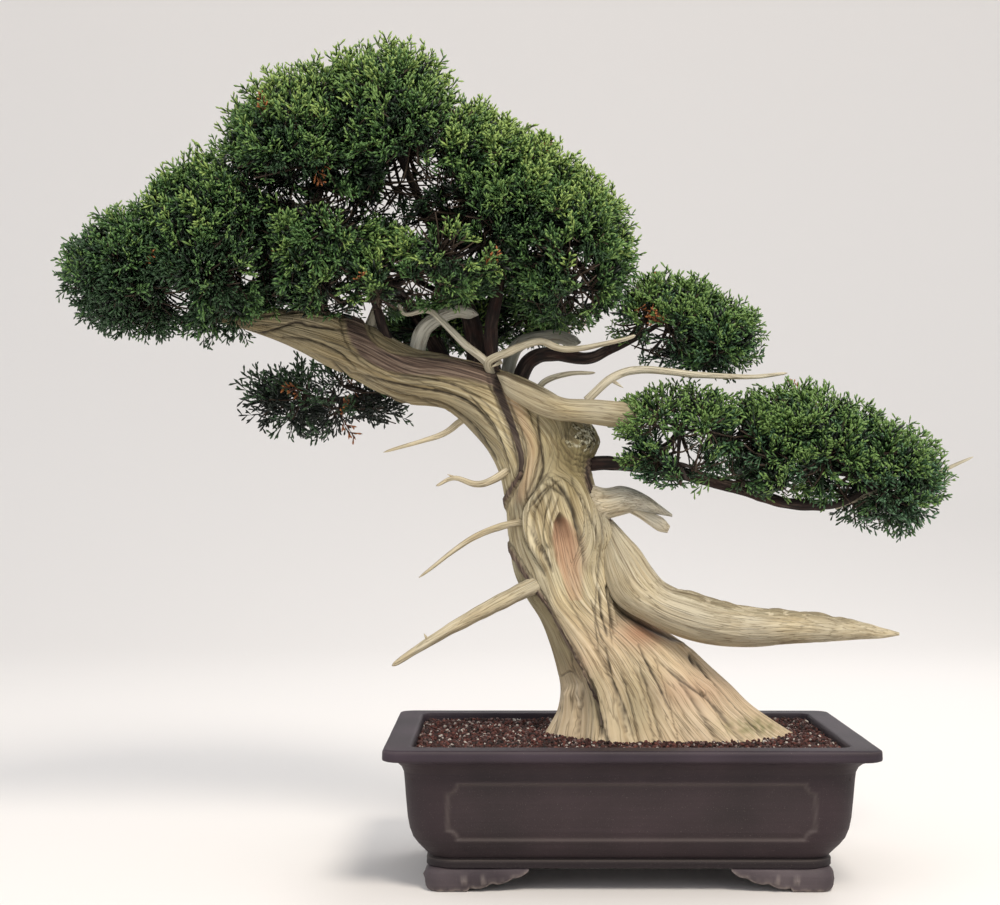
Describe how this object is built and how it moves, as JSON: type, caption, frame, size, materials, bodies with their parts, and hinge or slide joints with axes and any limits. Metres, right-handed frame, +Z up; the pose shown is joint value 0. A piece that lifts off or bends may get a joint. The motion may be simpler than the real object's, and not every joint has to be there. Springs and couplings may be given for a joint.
{
  "type": "conifer bonsai in a pot",
  "caption": "Driftwood-style conifer bonsai with bleached trunk and dead branches, clipped evergreen pads and a rectangular clay pot on cloud feet.",
  "frame": {"origin": "centre of the whole model's box, on the plane that the pot's feet stand on", "axes": "+Z up, +X to the right along the pot's length as seen from the front, +Y from the front to the back"},
  "size_m": [1.0264, 0.3696, 0.926],
  "materials": {
    "clay": "unglazed, fired dark brown-grey, matt",
    "soil": "loose reddish-brown granules of 2 to 4 mm",
    "deadwood": "bleached bare wood with deep grain",
    "bark": "thin stringy purplish-brown bark",
    "foliage": "dense scale-leaf sprays, mid-green with brighter tips"
  },
  "bodies": {
    "root": {"arched_stub": "deadwood", "back_stub": "deadwood", "bough_back": "bark", "bough_left": "bark", "bough_lower_left": "bark", "bough_lower_right": "bark", "bough_lower_right_inner": "bark", "bough_middle": "bark", "bough_middle_right": "bark", "bough_right": "bark", "bough_top": "bark", "foliage_back": "foliage", "foliage_left": "foliage", "foliage_lower_left": "foliage", "foliage_lower_right": "foliage", "foliage_lower_right_inner": "foliage", "foliage_middle": "foliage", "foliage_middle_right": "foliage", "foliage_right": "foliage", "foliage_top": "foliage", "foot_back_left": "clay", "foot_back_right": "clay", "foot_front_left": "clay", "foot_front_right": "clay", "left_limb": "deadwood", "left_stub": "deadwood", "long_right_jin": "deadwood", "lower_left_jin": "deadwood", "middle_left_jin": "deadwood", "pot": "clay", "right_limb": "deadwood", "right_stub": "deadwood", "right_tip_jin": "deadwood", "short_right_jin": "deadwood", "soil": "soil", "thin_left_jin": "deadwood", "top_jin": "deadwood", "trunk": "deadwood", "upper_left_jin": "deadwood", "wavy_left_jin": "deadwood", "wavy_right_jin": "deadwood"}
  },
  "joints": []
}
